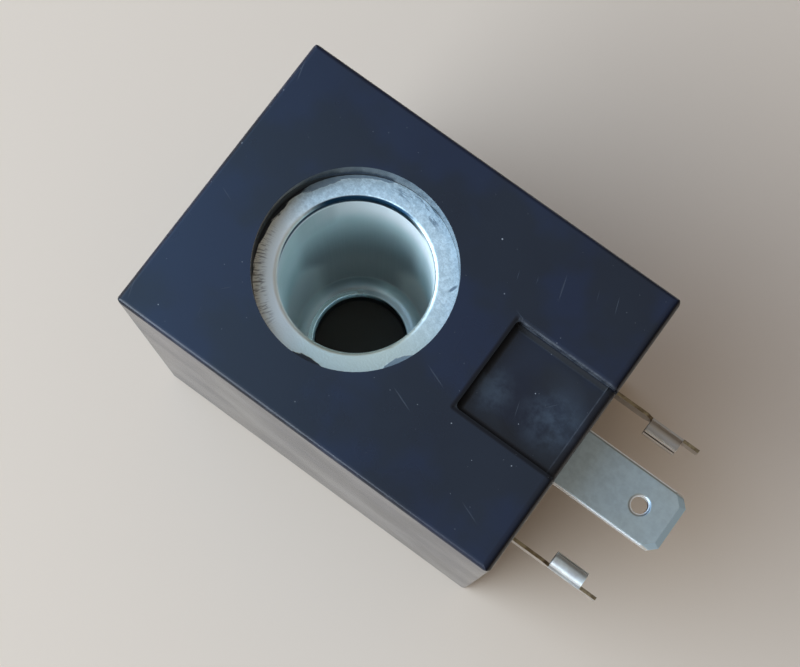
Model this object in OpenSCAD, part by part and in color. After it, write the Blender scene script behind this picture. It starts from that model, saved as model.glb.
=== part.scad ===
// Solenoid valve coil: a moulded block round a bobbin, its winding and a steel yoke.
// The origin is on the bore axis at mid-height. +Z leaves the bore's mouth, +X points to the terminals.

/* [Bore] */
// Diameter of the bore that slides over the armature tube
bore_diameter = 14.2; // [12:0.1:16]
// Diameter of the hole that lets the tube's stud through
stud_hole_diameter = 10; // [7:0.1:11]
// Sheet thickness of the drawn liner
liner_wall = 0.8; // [0.5:0.1:1.2]
// Inside radius at the foot of the liner
liner_fillet = 1.4; // [0.4:0.1:2]
// Rounding of the liner's lip round the stud hole
lip_radius = 0.3; // [0.2:0.1:0.8]

/* [Bobbin and winding] */
// Height of the bobbin between the yoke plates
spool_height = 32.6; // [26:0.2:44]
// Wall thickness of the bobbin's hub
hub_wall = 1; // [0.6:0.1:2]
// Thickness of each bobbin flange
flange_thickness = 1.2; // [0.8:0.1:2]
// Radial depth of the copper
winding_depth = 3; // [1.5:0.1:5]
// Thickness of the wrap over the copper
tape_thickness = 0.3; // [0.1:0.1:0.6]
// How far the flanges stand out past the wrap
flange_lip = 0.4; // [0.4:0.1:1.2]

/* [Yoke] */
// Sheet thickness of the yoke
plate_thickness = 1.6; // [1:0.1:2.5]
// Width of the yoke plates across the bore
yoke_width = 22; // [20:0.5:25]
// Width of the yoke's two legs
leg_width = 14; // [8:0.5:15]
// Length of full width left on each leg below its bend
leg_shoulder = 3; // [2:0.5:8]
// Gap between the flanges and the legs
leg_gap = 0.3; // [0.1:0.1:1]
// Inside radius of the sheet's bends
bend_radius = 0.4; // [0.2:0.1:1]
// Width of the tabs that lock the legs into the plate
tab_width = 5; // [3:0.5:7]
// Punching radius on the upper edge of the plate's bore
rollover = 0.4; // [0.1:0.1:0.6]
// Corner rounding of the plate on the nut side
plate_corner = 1.5; // [0.5:0.1:3]

/* [Moulded block] */
// Cover over the flanges at the long sides
side_cover = 2.2; // [1.5:0.1:5]
// Cover behind the yoke's rear leg
back_cover = 0.9; // [0.7:0.1:4]
// Room from the yoke's front leg to the terminal face
terminal_room = 10.6; // [10:0.1:16]
// Diameter of the round window over each yoke plate
window_diameter = 18.6; // [17:0.1:19.8]
// Depth of each window
window_depth = 2.6; // [2:0.1:5]
// Rounding of the upright corners
corner_radius = 0.6; // [0.3:0.1:1.5]
// Rounding of the top and bottom edges
edge_radius = 0.5; // [0.2:0.1:0.6]
// Rounding of the top edge above the terminals
front_edge_radius = 0.9; // [0.4:0.1:1.2]
// Width of the shallow recess in the top
recess_width = 9.6; // [6:0.1:14]
// Length of the recess, back from the terminal face
recess_length = 10.8; // [6:0.1:14]
// Depth of the recess
recess_depth = 1.4; // [0.6:0.1:1.6]
// Corner rounding of the recess
recess_corner = 0.5; // [0.2:0.1:1.5]
// Rounding at the foot of the recess's walls
recess_fillet = 0.6; // [0.2:0.1:1]

/* [Crimp terminals] */
// Distance between the two strips, centre to centre
terminal_spacing = 18; // [16:0.1:20]
// Height of the strips' centre line below mid-height
terminal_drop = 2.2; // [0:0.1:6]
// Sheet thickness of the strips
strip_thickness = 0.35; // [0.3:0.05:0.8]
// Height of the strips, which stand on edge
strip_height = 2.4; // [1.8:0.1:3.6]
// Length of strip between the block and the barrel
neck_length = 4.9; // [3:0.1:8]
// Length over which the strip narrows to the barrel
neck_taper = 0.7; // [0.3:0.1:1.5]
// Length of the rolled barrel
barrel_length = 3.7; // [2:0.1:6]
// Outside diameter of the rolled barrel
barrel_diameter = 1.9; // [1.6:0.1:3]
// Height of the flat back of the barrel
barrel_base = 1.2; // [0.8:0.1:1.5]
// Width of the barrel's seam
seam_width = 0.16; // [0.08:0.02:0.4]
// Angle of the seam above the barrel's inner side
seam_angle = 37; // [0:1:60]
// Length of the cut-off tab past the barrel
tab_length = 1.9; // [0.5:0.1:4]
// Height of the cut-off tab
tab_height = 1.6; // [0.8:0.1:2.4]
// Length of the tail behind the carrier
tail_length = 1.6; // [1.2:0.1:2]
// Height of the tail
tail_height = 1; // [0.6:0.1:1.2]

/* [Earth blade] */
// Width of the blade
blade_width = 6.3; // [4.8:0.1:7]
// Thickness of the blade
blade_thickness = 0.8; // [0.5:0.1:1]
// How far the blade stands out of the block
blade_reach = 12; // [8:0.1:16]
// Height of the blade's middle above mid-height
blade_rise = 5.35; // [4:0.05:9]
// Length of each cut corner at the tip
blade_corner = 0.85; // [0.4:0.05:1.5]
// Length of the bevel round the tip
tip_bevel = 0.6; // [0.2:0.05:1]
// Depth of that bevel on each face
tip_bevel_depth = 0.22; // [0.05:0.01:0.24]
// Diameter of the latch hole
latch_hole_diameter = 1.7; // [1:0.1:2.5]
// Distance of the latch hole from the tip
latch_hole_inset = 3.8; // [2.5:0.1:6]
// Length of the foot that lies on the yoke's front leg
foot_length = 5.4; // [4.6:0.1:7]
// Diameter of the rivet's shank
rivet_diameter = 2.2; // [1.2:0.1:2.6]
// Diameter of the rivet's heads
rivet_head_diameter = 3.6; // [2.8:0.1:4]
// Height of the rivet's outer head
rivet_head_height = 0.8; // [0.4:0.1:1.2]
// Height of the rivet's closed head, inside the yoke
rivet_tail_height = 0.4; // [0.2:0.1:0.6]

/* [Carrier and leads] */
// Thickness of the terminal carrier
carrier_depth = 4; // [2:0.1:4.2]
// Cover between the carrier and the terminal face
carrier_setback = 3.4; // [2:0.1:3.6]
// Wall of the carrier round each terminal
carrier_wall = 1.4; // [0.8:0.1:2]
// Diameter of the winding wire's ends
lead_diameter = 0.4; // [0.2:0.05:0.6]
// Gap between the flanges and the leads' insulation
lead_gap = 0.2; // [0.1:0.05:0.6]
// Outside diameter of the leads' insulation
sleeve_diameter = 1; // [0.8:0.05:1.4]
// Bare wire left at each end of the insulation
sleeve_inset = 1.5; // [0.8:0.1:4]
// Clearance round the bare ends of the leads
lead_clearance = 0.1; // [0.05:0.05:0.2]
// Solder between each lead and its tail
solder_film = 0.16; // [0.12:0.02:0.2]
// Radius of the solder on each tail
solder_radius = 0.75; // [0.7:0.05:1]
// Length of the solder on each tail
solder_length = 1.2; // [0.8:0.1:1.4]
// Rounding of the solder's ends
solder_round = 0.3; // [0.1:0.05:0.35]

/* [Hidden] */
$fn = 64;

// How far a cutting shape runs past what it cuts
cut = 1;

// Flats round a wire
wire_sides = 12;

// Radii of the nested pieces, from the bore outwards
bore_r = bore_diameter / 2;
stud_r = stud_hole_diameter / 2;
collar_r = stud_r + liner_wall;
liner_r = bore_r + liner_wall;
hub_r = liner_r + hub_wall;
winding_r = hub_r + winding_depth;
tape_r = winding_r + tape_thickness;
flange_r = tape_r + flange_lip;

// Places along X
leg_inner_x = flange_r + leg_gap;
yoke_reach = leg_inner_x + plate_thickness;
back_x = -(yoke_reach + back_cover);
front_x = yoke_reach + terminal_room;
carrier_front_x = front_x - carrier_setback;
carrier_back_x = carrier_front_x - carrier_depth;
tail_x = carrier_back_x - tail_length;
barrel_x = front_x + neck_length;
barrel_end_x = barrel_x + barrel_length;
tab_end_x = barrel_end_x + tab_length;
blade_tip_x = front_x + blade_reach;

// Places along Y
side_y = flange_r + side_cover;
strip_y = terminal_spacing / 2;
strip_outer_y = strip_y + strip_thickness / 2;
barrel_y = strip_outer_y - barrel_diameter / 2;

// Places along Z
spool_top = spool_height / 2;
flange_under = spool_top - flange_thickness;
plate_face = spool_top + plate_thickness;
top_z = plate_face + window_depth;
ledge_z = liner_wall - spool_top;
strip_z = -terminal_drop;
blade_top = blade_rise + blade_thickness / 2;
foot_end = blade_top - foot_length;
rivet_z = foot_end + rivet_head_diameter / 2;

// Routes of the two leads, on the +Y side
channel_diameter = lead_diameter + 2 * lead_clearance;
tail_joint = [(tail_x + carrier_back_x) / 2, strip_outer_y + solder_film + lead_diameter / 2, strip_z];
lead_r = flange_r + lead_gap + sleeve_diameter / 2;
lead_angle = asin(tail_joint.y / lead_r);
lead_way = [cos(lead_angle), sin(lead_angle), 0];
lead_turn = lead_r * lead_way;
slot_z = [0, 0, spool_top - flange_thickness / 2];
under_z = [0, 0, flange_under];
start_r = hub_r + lead_diameter;
finish_z = [0, 0, flange_under - lead_diameter];
start_route = [
    start_r * lead_way + under_z,
    start_r * lead_way + slot_z,
    lead_turn + slot_z,
    lead_turn + [0, 0, strip_z],
    tail_joint
];
finish_route = [
    winding_r * lead_way + finish_z,
    lead_turn + finish_z,
    lead_turn + [0, 0, strip_z],
    tail_joint
];

// What lies outside a quarter round, for a corner that points to +X +Y
module corner_waste(r) {
    difference() {
        square(2 * r);
        circle(r);
    }
}

// A rectangle with its own rounding at each corner, anticlockwise from the lower left
module rounded_rectangle(low, high, radii) {
    corners = [low, [high.x, low.y], high, [low.x, high.y]];
    inward = [[1, 1], [-1, 1], [-1, -1], [1, -1]];
    difference() {
        translate(low)
            square(high - low);
        for (i = [0:3])
            if (radii[i] > 0)
                translate(corners[i] + radii[i] * inward[i])
                    rotate(180 + 90 * i)
                        corner_waste(radii[i]);
    }
}

// Section of a strip that runs to +X and turns down at its rounded outer corner, the origin
module bent_strip(run, drop, thickness) {
    outer = bend_radius + thickness;
    translate([outer, -thickness])
        square([run - outer, thickness]);
    translate([0, -drop])
        square([thickness, drop - outer]);
    translate([outer, -outer])
        intersection() {
            difference() {
                circle(outer);
                circle(bend_radius);
            }
            translate([-outer, 0])
                square(outer);
        }
}

// Stands a section that is drawn along X and Z up, and gives it a width along Y
module across(width) {
    rotate([90, 0, 0])
        linear_extrude(width, center = true)
            children();
}

module tube(outer, inner, height) {
    linear_extrude(height, center = true)
        difference() {
            circle(outer);
            circle(inner);
        }
}

function unit(v) = v / norm(v);

// A ring of points round the start of a wire, square to its first run
function first_ring(start, way, radius) =
    let (across_way = unit(cross(way, abs(way.z) > 0.5 ? [1, 0, 0] : [0, 0, 1])))
    let (up_way = cross(across_way, way))
    [
        for (i = [0:wire_sides - 1])
            let (turn = 360 * i / wire_sides)
            start + radius * (cos(turn) * across_way + sin(turn) * up_way)
    ];

// The same ring pushed along the wire to each later point, where it is mitred
function wire_rings(points, ways, radius, i) =
    i == 0
        ? [first_ring(points[0], ways[0], radius)]
        : let (before = wire_rings(points, ways, radius, i - 1))
          let (mitre = unit(ways[i - 1] + ways[min(i, len(ways) - 1)]))
          concat(before, [[
              for (q = before[i - 1])
                  q + ((points[i] - q) * mitre) / (ways[i - 1] * mitre) * ways[i - 1]
          ]]);

// Round wire through a list of points
module wire(points, diameter) {
    last = len(points) - 1;
    ways = [for (i = [0:last - 1]) unit(points[i + 1] - points[i])];
    rings = wire_rings(points, ways, diameter / 2, last);
    sides = [
        for (i = [0:last - 1], k = [0:wire_sides - 1])
            let (next = (k + 1) % wire_sides)
            [i * wire_sides + k, i * wire_sides + next, (i + 1) * wire_sides + next, (i + 1) * wire_sides + k]
    ];
    start_cap = [for (k = [wire_sides - 1:-1:0]) k];
    end_cap = [for (k = [0:wire_sides - 1]) last * wire_sides + k];
    polyhedron([for (ring = rings) each ring], concat(sides, [start_cap, end_cap]));
}

// Straight round rod between two points
module rod(from, to, diameter) {
    run = to - from;
    translate(from)
        rotate([0, acos(run.z / norm(run)), atan2(run.y, run.x)])
            cylinder(d = diameter, h = norm(run));
}

// Room round a lead in the moulding: out of the spool, down its insulated run and along the soldered tail
module lead_channel(route) {
    last = len(route) - 1;
    rod(route[last - 3], route[last - 2], channel_diameter);
    translate([0, 0, channel_diameter / 2])
        rod(route[last - 1] - [0, 0, channel_diameter], route[last - 2], sleeve_diameter);
    translate([lead_turn.x, strip_outer_y, strip_z])
        rotate([0, 90, 0])
            cylinder(r = solder_radius, h = carrier_back_x - lead_turn.x);
}

// The moulded block's section along the bore, with the softer edge above the terminals
module block_length() {
    across(2 * side_y)
        rounded_rectangle(
            [back_x, -top_z], [front_x, top_z],
            [edge_radius, edge_radius, front_edge_radius, edge_radius]
        );
}

module moulded_block() {
    intersection() {
        block_length();
        translate([back_x, 0, 0])
            rotate([90, 0, 90])
                linear_extrude(front_x - back_x)
                    rounded_rectangle([-side_y, -top_z], [side_y, top_z], edge_radius * [1, 1, 1, 1]);
        linear_extrude(2 * top_z, center = true)
            rounded_rectangle([back_x, -side_y], [front_x, side_y], corner_radius * [1, 1, 1, 1]);
    }
}

// What rounds the inner corner between a floor along +X and a wall along +Y, at the origin
module foot_fillet(r) {
    difference() {
        square(r);
        translate([r, r])
            circle(r);
    }
}

// The recess is open to the terminal face, and its floor keeps that face's rounded edge
module top_recess() {
    floor_z = top_z - recess_depth;
    rear_x = front_x - recess_length;
    fillet = min(recess_fillet, recess_depth);
    difference() {
        translate([0, 0, floor_z - front_edge_radius])
            linear_extrude(front_edge_radius + recess_depth + cut)
                rounded_rectangle(
                    [rear_x, -recess_width / 2], [front_x + cut, recess_width / 2],
                    recess_corner * [1, 0, 0, 1]
                );
        translate([0, 0, -recess_depth])
            block_length();
        across(recess_width)
            translate([rear_x, floor_z])
                foot_fillet(fillet);
        for (side = [0, 1])
            mirror([0, side, 0])
                translate([rear_x, -recess_width / 2, floor_z])
                    rotate([90, 0, 90])
                        linear_extrude(recess_length - front_edge_radius)
                            foot_fillet(fillet);
    }
}

// Room that the bobbin, winding and liner take up
module spool_space() {
    cylinder(r = tape_r, h = spool_height, center = true);
    for (side = [-1, 1])
        translate([0, 0, side * (spool_top - flange_thickness / 2)])
            cylinder(r = flange_r, h = flange_thickness, center = true);
}

// The block with its recess and windows, and the room that all but the leads take up in it
module hollow_block() {
    difference() {
        moulded_block();
        top_recess();
        cylinder(d = window_diameter, h = 2 * (top_z + cut), center = true);
        spool_space();
        bracket_form();
        plate_form();
        blade_form();
        earth_rivet();
        carrier_form();
        for (side = [0, 1])
            mirror([0, side, 0])
                terminal_form();
    }
}

module encapsulation() {
    color("#1f242d")
        difference() {
            hollow_block();
            lead_channel(start_route);
            mirror([0, 1, 0])
                lead_channel(finish_route);
        }
}

// The bent sheet of the yoke, before its bore is punched. Each leg steps in twice, last to its tab
module bracket_form() {
    widths_and_drops = [
        [yoke_width, plate_thickness + leg_shoulder],
        [leg_width, plate_face + spool_top],
        [tab_width, 2 * plate_face]
    ];
    for (step = widths_and_drops)
        across(step[0])
            for (side = [0, 1])
                mirror([side, 0])
                    translate([-yoke_reach, plate_face])
                        bent_strip(yoke_reach, step[1], plate_thickness);
}

module yoke_bracket() {
    color("#b9c0c2")
        difference() {
            bracket_form();
            cylinder(r = bore_r, h = 2 * top_z);
            rotate_extrude()
                translate([bore_r + rollover, plate_face - rollover])
                    rotate(90)
                        corner_waste(rollover);
            rivet_shank();
        }
}

// The closing plate on the nut side, before it is pierced
module plate_form() {
    translate([0, 0, -plate_face])
        linear_extrude(plate_thickness)
            rounded_rectangle(
                [-yoke_reach, -yoke_width / 2], [yoke_reach, yoke_width / 2],
                plate_corner * [1, 1, 1, 1]
            );
}

module nut_side_plate() {
    color("#aab1b4")
        difference() {
            plate_form();
            cylinder(r = collar_r, h = 2 * top_z, center = true);
            bracket_form();
        }
}

// Half section of the liner: a drawn cup whose floor is turned down to a collar
module liner_section() {
    difference() {
        union() {
            difference() {
                rounded_rectangle([0, -spool_top], [liner_r, spool_top], [0, liner_fillet + liner_wall, 0, 0]);
                rounded_rectangle([-cut, ledge_z], [bore_r, spool_top + cut], [0, liner_fillet, 0, 0]);
            }
            translate([0, -plate_face])
                square([collar_r, plate_face + ledge_z]);
        }
        translate([-cut, -plate_face - cut])
            square([cut + stud_r, 2 * plate_face]);
        translate([stud_r + lip_radius, ledge_z - lip_radius])
            rotate(90)
                corner_waste(lip_radius);
    }
}

module bore_liner() {
    color("#c9d2d0")
        rotate_extrude()
            liner_section();
}

// Half section of the bobbin: a hub with a flange at each end
module bobbin_section() {
    difference() {
        translate([liner_r, -spool_top])
            square([flange_r - liner_r, spool_height]);
        translate([hub_r, -flange_under])
            square([flange_r, 2 * flange_under]);
    }
}

// The start lead leaves the innermost turns through a slot in the upper flange
module bobbin() {
    color("#d8d3c4")
        difference() {
            rotate_extrude()
                bobbin_section();
            rotate(lead_angle)
                translate([start_r - channel_diameter / 2, -channel_diameter / 2, flange_under - cut])
                    cube([flange_r, channel_diameter, flange_thickness + 2 * cut]);
        }
}

module winding() {
    color("#b5622b")
        tube(winding_r, hub_r, 2 * flange_under);
}

module winding_tape() {
    color("#d9c25a")
        difference() {
            tube(tape_r, winding_r, 2 * flange_under);
            mirror([0, 1, 0])
                rod(finish_route[0], finish_route[1], lead_diameter);
        }
}

// Side view of a strip as half heights at stations along X: tail, strip, neck, barrel back and tab
module strip_outline() {
    stations = [
        [tail_x, tail_height / 2],
        [carrier_back_x, tail_height / 2],
        [carrier_back_x, strip_height / 2],
        [barrel_x - neck_taper, strip_height / 2],
        [barrel_x, barrel_base / 2],
        [barrel_end_x, barrel_base / 2],
        [barrel_end_x, tab_height / 2],
        [tab_end_x, tab_height / 2]
    ];
    last = len(stations) - 1;
    polygon(concat(stations, [for (i = [last:-1:0]) [stations[i].x, -stations[i].y]]));
}

// Rolled barrel, with its flat back to +Y and its seam on the other side
module barrel_section() {
    outer = barrel_diameter / 2;
    difference() {
        circle(outer);
        circle(outer - strip_thickness);
        rotate(180 - seam_angle)
            translate([0, -seam_width / 2])
                square([barrel_diameter, seam_width]);
    }
}

module terminal_form() {
    translate([0, strip_y, strip_z])
        across(strip_thickness)
            strip_outline();
    translate([barrel_x, barrel_y, strip_z])
        rotate([90, 0, 90])
            linear_extrude(barrel_length)
                barrel_section();
}

module far_terminal() {
    color("#c7bfa6")
        terminal_form();
}

module near_terminal() {
    color("#c7bfa6")
        mirror([0, 1, 0])
            terminal_form();
}

module blade_outline() {
    half = blade_width / 2;
    shoulder_x = blade_tip_x - blade_corner;
    polygon([
        [0, -half],
        [shoulder_x, -half],
        [blade_tip_x, blade_corner - half],
        [blade_tip_x, half - blade_corner],
        [shoulder_x, half],
        [0, half]
    ]);
}

// Wedge that bevels both faces along an edge through the origin, which faces +X
module bevel_wedge() {
    for (side = [0, 1])
        mirror([0, 0, side])
            across(2 * blade_width)
                polygon([
                    [-tip_bevel, blade_thickness / 2],
                    [0, blade_thickness / 2 - tip_bevel_depth],
                    [cut, blade_thickness / 2 - tip_bevel_depth],
                    [cut, blade_thickness]
                ]);
}

// The blade with its foot turned down on the yoke's front leg, before it is pierced
module blade_form() {
    difference() {
        intersection() {
            translate([yoke_reach, 0, blade_top])
                across(blade_width)
                    bent_strip(blade_tip_x - yoke_reach, foot_length, blade_thickness);
            linear_extrude(2 * top_z, center = true)
                blade_outline();
        }
        translate([blade_tip_x, 0, blade_rise])
            bevel_wedge();
        for (side = [-1, 1])
            translate([blade_tip_x - blade_corner / 2, side * (blade_width - blade_corner) / 2, blade_rise])
                rotate(side * 45)
                    bevel_wedge();
    }
}

module earth_blade() {
    color("#aeb7b6")
        difference() {
            blade_form();
            translate([blade_tip_x - latch_hole_inset, 0, blade_rise])
                cylinder(d = latch_hole_diameter, h = 2 * blade_thickness, center = true);
            rivet_shank();
        }
}

module rivet_shank() {
    translate([leg_inner_x, 0, rivet_z])
        rotate([0, 90, 0])
            cylinder(d = rivet_diameter, h = plate_thickness + blade_thickness);
}

module earth_rivet() {
    color("#b08d4a")
        union() {
            rivet_shank();
            translate([leg_inner_x - rivet_tail_height, 0, rivet_z])
                rotate([0, 90, 0])
                    cylinder(d = rivet_head_diameter, h = rivet_tail_height);
            translate([yoke_reach + blade_thickness, 0, rivet_z])
                rotate([0, 90, 0])
                    cylinder(d = rivet_head_diameter, h = rivet_head_height);
        }
}

// A bar across the two strips, with a tower round the blade, before it is pierced
module carrier_form() {
    bar_half = strip_outer_y + carrier_wall;
    tower_half = blade_width / 2 + carrier_wall;
    bar_low = strip_z - strip_height / 2 - carrier_wall;
    bar_high = strip_z + strip_height / 2 + carrier_wall;
    translate([carrier_back_x, 0, 0])
        rotate([90, 0, 90])
            linear_extrude(carrier_depth) {
                translate([-bar_half, bar_low])
                    square([2 * bar_half, bar_high - bar_low]);
                translate([-tower_half, bar_low])
                    square([2 * tower_half, blade_top + carrier_wall - bar_low]);
            }
}

module terminal_carrier() {
    color("#3a3d40")
        difference() {
            carrier_form();
            blade_form();
            for (side = [0, 1])
                mirror([0, side, 0])
                    terminal_form();
        }
}

module start_lead() {
    color("#c46a33")
        wire(start_route, lead_diameter);
}

module finish_lead() {
    color("#c46a33")
        mirror([0, 1, 0])
            wire(finish_route, lead_diameter);
}

// Insulation on a lead's upright run
module lead_sleeve() {
    low = strip_z + sleeve_inset;
    height = flange_under - sleeve_inset - low;
    color("#e8e4da")
        translate(lead_turn + [0, 0, low + height / 2])
            tube(sleeve_diameter / 2, lead_diameter / 2, height);
}

module start_sleeve() {
    lead_sleeve();
}

module finish_sleeve() {
    mirror([0, 1, 0])
        lead_sleeve();
}

// Rounded bead along the tail
module solder_bead() {
    translate([tail_joint.x - solder_length / 2, strip_outer_y, strip_z])
        rotate([0, 90, 0])
            rotate_extrude()
                rounded_rectangle([0, 0], [solder_radius, solder_length], solder_round * [0, 1, 1, 0]);
}

// Solder round the tail and the end of the lead that lies on it
module solder_joint() {
    color("#c4c8ca")
        difference() {
            solder_bead();
            terminal_form();
            rod(lead_turn + [0, 0, strip_z], tail_joint, lead_diameter);
        }
}

module start_solder() {
    solder_joint();
}

module finish_solder() {
    mirror([0, 1, 0])
        solder_joint();
}

encapsulation();
yoke_bracket();
nut_side_plate();
bore_liner();
bobbin();
winding();
winding_tape();
near_terminal();
far_terminal();
earth_blade();
earth_rivet();
terminal_carrier();
start_lead();
finish_lead();
start_sleeve();
finish_sleeve();
start_solder();
finish_solder();
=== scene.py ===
import math

import bmesh
import bpy
from mathutils import Matrix, Vector


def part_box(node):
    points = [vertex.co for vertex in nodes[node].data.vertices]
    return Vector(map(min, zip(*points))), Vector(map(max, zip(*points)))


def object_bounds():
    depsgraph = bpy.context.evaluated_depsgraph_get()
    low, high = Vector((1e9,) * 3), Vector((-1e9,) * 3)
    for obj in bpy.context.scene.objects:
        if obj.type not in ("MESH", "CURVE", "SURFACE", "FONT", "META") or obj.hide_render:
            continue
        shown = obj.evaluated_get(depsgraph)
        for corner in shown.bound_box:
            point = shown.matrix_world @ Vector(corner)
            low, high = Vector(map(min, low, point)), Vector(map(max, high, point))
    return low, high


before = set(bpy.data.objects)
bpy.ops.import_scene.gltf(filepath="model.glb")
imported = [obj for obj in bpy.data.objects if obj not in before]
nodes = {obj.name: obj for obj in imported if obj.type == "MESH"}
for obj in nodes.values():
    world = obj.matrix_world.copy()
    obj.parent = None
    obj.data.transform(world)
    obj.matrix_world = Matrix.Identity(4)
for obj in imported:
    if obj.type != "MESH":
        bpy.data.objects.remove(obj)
cadLow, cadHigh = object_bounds()
mm = 0.001
print("frame loaded:", len(nodes), "nodes")


# Shader helpers: a value may be a plain number or a socket to link

def feed(tree, socket, value):
    if isinstance(value, bpy.types.NodeSocket):
        tree.links.new(value, socket)
    else:
        socket.default_value = value


def place(tree, kind, inputs=None, **settings):
    node = tree.nodes.new(kind)
    for name, value in settings.items():
        setattr(node, name, value)
    for name, value in (inputs or {}).items():
        feed(tree, node.inputs[name], value)
    return node


def calc(tree, operation, *values):
    return place(tree, "ShaderNodeMath", dict(enumerate(values)), operation=operation).outputs[0]


def vectorMath(tree, operation, values):
    return place(tree, "ShaderNodeVectorMath", dict(enumerate(values)), operation=operation).outputs


def vectorCalc(tree, operation, *values):  # gives a vector
    return vectorMath(tree, operation, values)["Vector"]


def measure(tree, operation, *values):  # gives a number, such as a length
    return vectorMath(tree, operation, values)["Value"]


def rise(tree, value, low, high):  # 0 below low, 1 above high, smooth between
    inputs = {"Value": value, "From Min": low, "From Max": high}
    return place(tree, "ShaderNodeMapRange", inputs, interpolation_type="SMOOTHSTEP").outputs[0]


def fall(tree, value, low, high):  # 1 below low, 0 above high
    return inverse(tree, rise(tree, value, low, high))


def riseFrom(tree, value, line, steps):  # rise, with both steps measured from a line
    return rise(tree, value, line + steps[0], line + steps[1])


def fallFrom(tree, value, line, steps):
    return fall(tree, value, line + steps[0], line + steps[1])


def inverse(tree, value):
    return calc(tree, "SUBTRACT", 1.0, value)


def span(tree, value, low, high):  # stretches 0..1 to low..high
    return place(tree, "ShaderNodeMapRange", {"Value": value, "To Min": low, "To Max": high}).outputs[0]


def times(tree, *values):
    total = values[0]
    for value in values[1:]:
        total = calc(tree, "MULTIPLY", total, value)
    return total


def largest(tree, *values):
    most = values[0]
    for value in values[1:]:
        most = calc(tree, "MAXIMUM", most, value)
    return most


def offLine(tree, value, line):  # distance from a line
    return calc(tree, "ABSOLUTE", calc(tree, "SUBTRACT", value, line))


def mixColors(tree, amount, first, second):
    return place(tree, "ShaderNodeMix", {0: amount, 6: first, 7: second}, data_type="RGBA").outputs[2]


def noiseOf(tree, vector, scale, detail, roughness):
    inputs = {"Vector": vector, "Scale": scale, "Detail": detail, "Roughness": roughness}
    return place(tree, "ShaderNodeTexNoise", inputs).outputs[0]


# patches in a finish are given as the noise's scale, detail and roughness, then where it is cut to 0 and 1
def patches(tree, vector, scale, detail, roughness, low, high):
    return rise(tree, noiseOf(tree, vector, scale, detail, roughness), low, high)


def joined(tree, x, y, z=0.0):
    return place(tree, "ShaderNodeCombineXYZ", {0: x, 1: y, 2: z}).outputs[0]


def parted(tree, vector):
    return list(place(tree, "ShaderNodeSeparateXYZ", {0: vector}).outputs)


def objectPoint(tree):
    return place(tree, "ShaderNodeTexCoord").outputs["Object"]


def normalParts(tree):
    return parted(tree, place(tree, "ShaderNodeNewGeometry").outputs["Normal"])


def toward(angle):  # level direction, in degrees round the bore from +X
    return Vector((math.cos(math.radians(angle)), math.sin(math.radians(angle)), 0))


# a side of the bore is given as its angle, then the cosines where it starts and is full
def facing(tree, way, angle, low, high):
    return rise(tree, measure(tree, "DOT_PRODUCT", way, toward(angle)), low, high)


def roundBore(tree, point):  # a point's level place, its radius and its direction from the axis
    flat = joined(tree, *parted(tree, point)[:2])
    return flat, measure(tree, "LENGTH", flat), vectorCalc(tree, "NORMALIZE", flat)


def wrapped(tree, way, height, around, up):  # lays a pattern round the bore
    lift = joined(tree, 0.0, 0.0, times(tree, height, up))
    return vectorCalc(tree, "MULTIPLY_ADD", way, (around, around, 0.0), lift)


def bump(tree, height, depth, under=None):  # under: the normal of a coarser relief
    inputs = {"Height": height, "Distance": depth}
    if under is not None:
        inputs["Normal"] = under
    return place(tree, "ShaderNodeBump", inputs).outputs[0]


def rgb(red, green, blue):
    return (red, green, blue, 1.0)


def newMaterial(name):
    material = bpy.data.materials.new(name)
    material.use_nodes = True
    tree = material.node_tree
    tree.nodes.clear()
    shader = place(tree, "ShaderNodeBsdfPrincipled")
    output = place(tree, "ShaderNodeOutputMaterial")
    tree.links.new(shader.outputs[0], output.inputs["Surface"])
    return material, tree, shader


def wear(material, *names):  # gives CAD nodes their finish
    for name in names:
        slots = nodes[name].data.materials
        slots.clear()
        slots.append(material)


# Effects that several finishes share

effects = {
    "slant": (0.9, 0.7),  # how far X and Y shift with height in flat patterns
    "wander": (160.0, 1.0, 0.5),  # noise that bends the scratches
    "sway": 0.4 * mm,
    "grain": (3.0, 0.6),  # detail and roughness
    "grainPatches": (3.0, 0.55, 0.3, 0.7),
    "patchScale": 0.02,  # of the grain's own scale
}

# marks in cells: how their size varies, their soft edge and how their strength varies
speckLook = {"size": (0.4, 1.6), "edge": (0.5, 1.0), "strength": (0.35, 1.0)}
scratchLook = {"size": (0.03, 0.13), "edge": (0.4, 1.0), "strength": (0.2, 1.0)}


def newGroup(name, inputs, outputs):  # all its sockets are plain numbers
    group = bpy.data.node_groups.new(name, "ShaderNodeTree")
    for label, value in inputs.items():
        socket = group.interface.new_socket(label, in_out="INPUT", socket_type="NodeSocketFloat")
        socket.default_value = value
    for label in outputs:
        group.interface.new_socket(label, in_out="OUTPUT", socket_type="NodeSocketFloat")
    start = place(group, "NodeGroupInput").outputs
    end = place(group, "NodeGroupOutput").inputs
    return group, start, end


def fillGroup(tree, group, **inputs):
    return place(tree, "ShaderNodeGroup", inputs, node_tree=group).outputs


def flatPoint(tree):  # slanted, so that 2D patterns lie well on every side of a box
    x, y, z = parted(tree, objectPoint(tree))
    slantX, slantY = effects["slant"]
    across = calc(tree, "MULTIPLY_ADD", z, slantX, x)
    along = calc(tree, "MULTIPLY_ADD", z, slantY, y)
    return joined(tree, across, along)


def cellMarks(tree, vector, scale, size, share, look):  # one mark in some of the cells
    inputs = {"Vector": vector, "Scale": scale}
    cells = place(tree, "ShaderNodeTexVoronoi", inputs, voronoi_dimensions="2D").outputs
    red, green, blue = parted(tree, cells["Color"])
    reach = times(tree, size, span(tree, green, *look["size"]))
    mark = fall(tree, calc(tree, "DIVIDE", cells["Distance"], reach), *look["edge"])
    chosen = calc(tree, "LESS_THAN", red, share)
    return times(tree, mark, chosen, span(tree, blue, *look["strength"]))


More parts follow.
